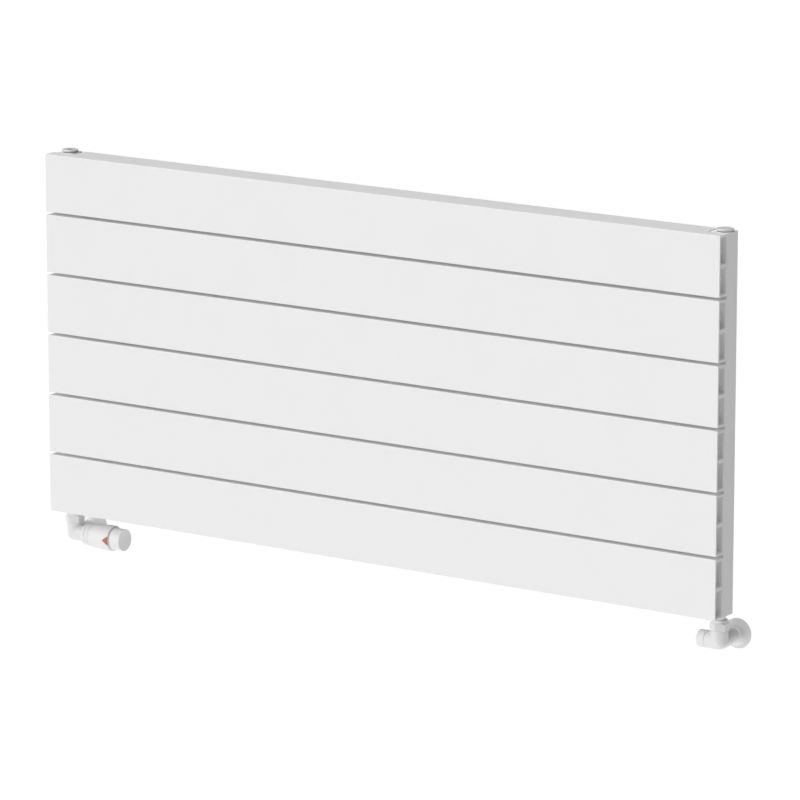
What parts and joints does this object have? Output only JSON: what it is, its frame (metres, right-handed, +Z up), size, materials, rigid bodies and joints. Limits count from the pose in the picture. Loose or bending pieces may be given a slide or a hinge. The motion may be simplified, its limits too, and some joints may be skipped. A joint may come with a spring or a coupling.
{
  "type": "radiator with valve",
  "caption": "Wall-hung horizontal flat-panel radiator with an angled thermostatic valve at one lower corner and a lockshield valve at the other.",
  "frame": {"origin": "on the wall plane, midway along the panels, level with the bottom edge of the lowest panel", "axes": "+X to the right as seen from the room, +Y towards the wall, +Z up"},
  "size_m": [1.2125, 0.09, 0.632],
  "materials": {
    "panel_enamel": "white powder coat, satin",
    "fitting_enamel": "white enamel on brass, satin",
    "white_plastic": "moulded white plastic, satin",
    "red_plastic": "moulded red plastic, satin",
    "grey_plastic": "moulded grey plastic, matt",
    "rubber": "black seal rubber",
    "brass": "machined brass",
    "stainless_steel": "ground stainless steel",
    "zinc_steel": "zinc-plated pressed steel"
  },
  "bodies": {
    "radiator": {"panel_1": "panel_enamel", "panel_2": "panel_enamel", "panel_3": "panel_enamel", "panel_4": "panel_enamel", "panel_5": "panel_enamel", "panel_6": "panel_enamel", "end_cap_left_1": "panel_enamel", "end_cap_left_2": "panel_enamel", "end_cap_left_3": "panel_enamel", "end_cap_left_4": "panel_enamel", "end_cap_left_5": "panel_enamel", "end_cap_left_6": "panel_enamel", "end_cap_right_1": "panel_enamel", "end_cap_right_2": "panel_enamel", "end_cap_right_3": "panel_enamel", "end_cap_right_4": "panel_enamel", "end_cap_right_5": "panel_enamel", "end_cap_right_6": "panel_enamel", "collector_left": "panel_enamel", "collector_right": "panel_enamel", "air_vent_plug": "fitting_enamel", "air_vent_seal": "rubber", "blanking_plug": "fitting_enamel", "blanking_plug_seal": "rubber", "hanger_left": "zinc_steel", "hanger_right": "zinc_steel", "wall_bracket_left": "zinc_steel", "wall_bracket_right": "zinc_steel", "spacer_left": "white_plastic", "spacer_right": "white_plastic", "trv_body": "fitting_enamel", "trv_tailpiece": "fitting_enamel", "trv_union_nut": "fitting_enamel", "trv_union_seal": "rubber", "trv_compression_nut": "fitting_enamel", "trv_olive": "brass", "trv_insert": "brass", "trv_insert_seal": "rubber", "trv_return_spring": "stainless_steel", "trv_head_nut": "white_plastic", "trv_head_base": "white_plastic", "lockshield_body": "fitting_enamel", "lockshield_tailpiece": "fitting_enamel", "lockshield_union_nut": "fitting_enamel", "lockshield_union_seal": "rubber", "lockshield_compression_nut": "fitting_enamel", "lockshield_olive": "brass", "lockshield_bonnet": "brass", "lockshield_bonnet_seal": "rubber"},
    "trv_knob": {"trv_handle": "white_plastic", "trv_marker": "red_plastic", "trv_head_cap": "white_plastic"},
    "trv_cartridge": {"trv_sensor": "grey_plastic"},
    "trv_pin": {"trv_spindle": "stainless_steel"},
    "trv_wall_cover": {"trv_rosette": "fitting_enamel"},
    "lockshield_cover": {"lockshield_cap": "white_plastic"},
    "lockshield_adjuster": {"lockshield_spindle": "brass"},
    "lockshield_regulator": {"lockshield_plug": "brass"},
    "lockshield_wall_cover": {"lockshield_rosette": "fitting_enamel"},
    "vent_screw": {"bleed_screw": "brass"}
  },
  "joints": [
    {"name": "trv_knob_turn", "type": "hinge", "parent": "radiator", "child": "trv_knob", "pos_m": [-0.58, -0.053, -0.04], "axis": [1, 0, 0], "range_deg": [-150, 150]},
    {"name": "trv_cartridge_travel", "type": "slide", "parent": "radiator", "child": "trv_cartridge", "axis": [1, 0, 0], "range_m": [-0.00125, 0.00125]},
    {"name": "trv_pin_travel", "type": "slide", "parent": "radiator", "child": "trv_pin", "axis": [1, 0, 0], "range_m": [-0.00125, 0.00125], "deforming": ["trv_return_spring"]},
    {"name": "trv_wall_cover_slide", "type": "slide", "parent": "radiator", "child": "trv_wall_cover", "axis": [0, -1, 0], "range_m": [0, 0.015]},
    {"name": "lockshield_cover_pull", "type": "slide", "parent": "radiator", "child": "lockshield_cover", "axis": [-1, 0, 0], "range_m": [0, 0.014]},
    {"name": "lockshield_adjuster_turn", "type": "hinge", "parent": "radiator", "child": "lockshield_adjuster", "pos_m": [0.587, -0.053, -0.04], "axis": [-1, 0, 0], "range_deg": [-450, 450]},
    {"name": "lockshield_regulator_travel", "type": "slide", "parent": "radiator", "child": "lockshield_regulator", "axis": [-1, 0, 0], "range_m": [-0.00125, 0.00125]},
    {"name": "lockshield_wall_cover_slide", "type": "slide", "parent": "radiator", "child": "lockshield_wall_cover", "axis": [0, -1, 0], "range_m": [0, 0.015]},
    {"name": "vent_screw_turn", "type": "hinge", "parent": "radiator", "child": "vent_screw", "pos_m": [-0.58, -0.053, 0.565], "axis": [0, 0, 1], "range_deg": [0, 360]}
  ],
  "couplings": [
    {"joint": "trv_cartridge_travel", "follows": "trv_knob_turn", "m_per_rad": 0.000477},
    {"joint": "trv_pin_travel", "follows": "trv_knob_turn", "m_per_rad": 0.000477},
    {"joint": "lockshield_regulator_travel", "follows": "lockshield_adjuster_turn", "m_per_rad": 0.000159}
  ]
}
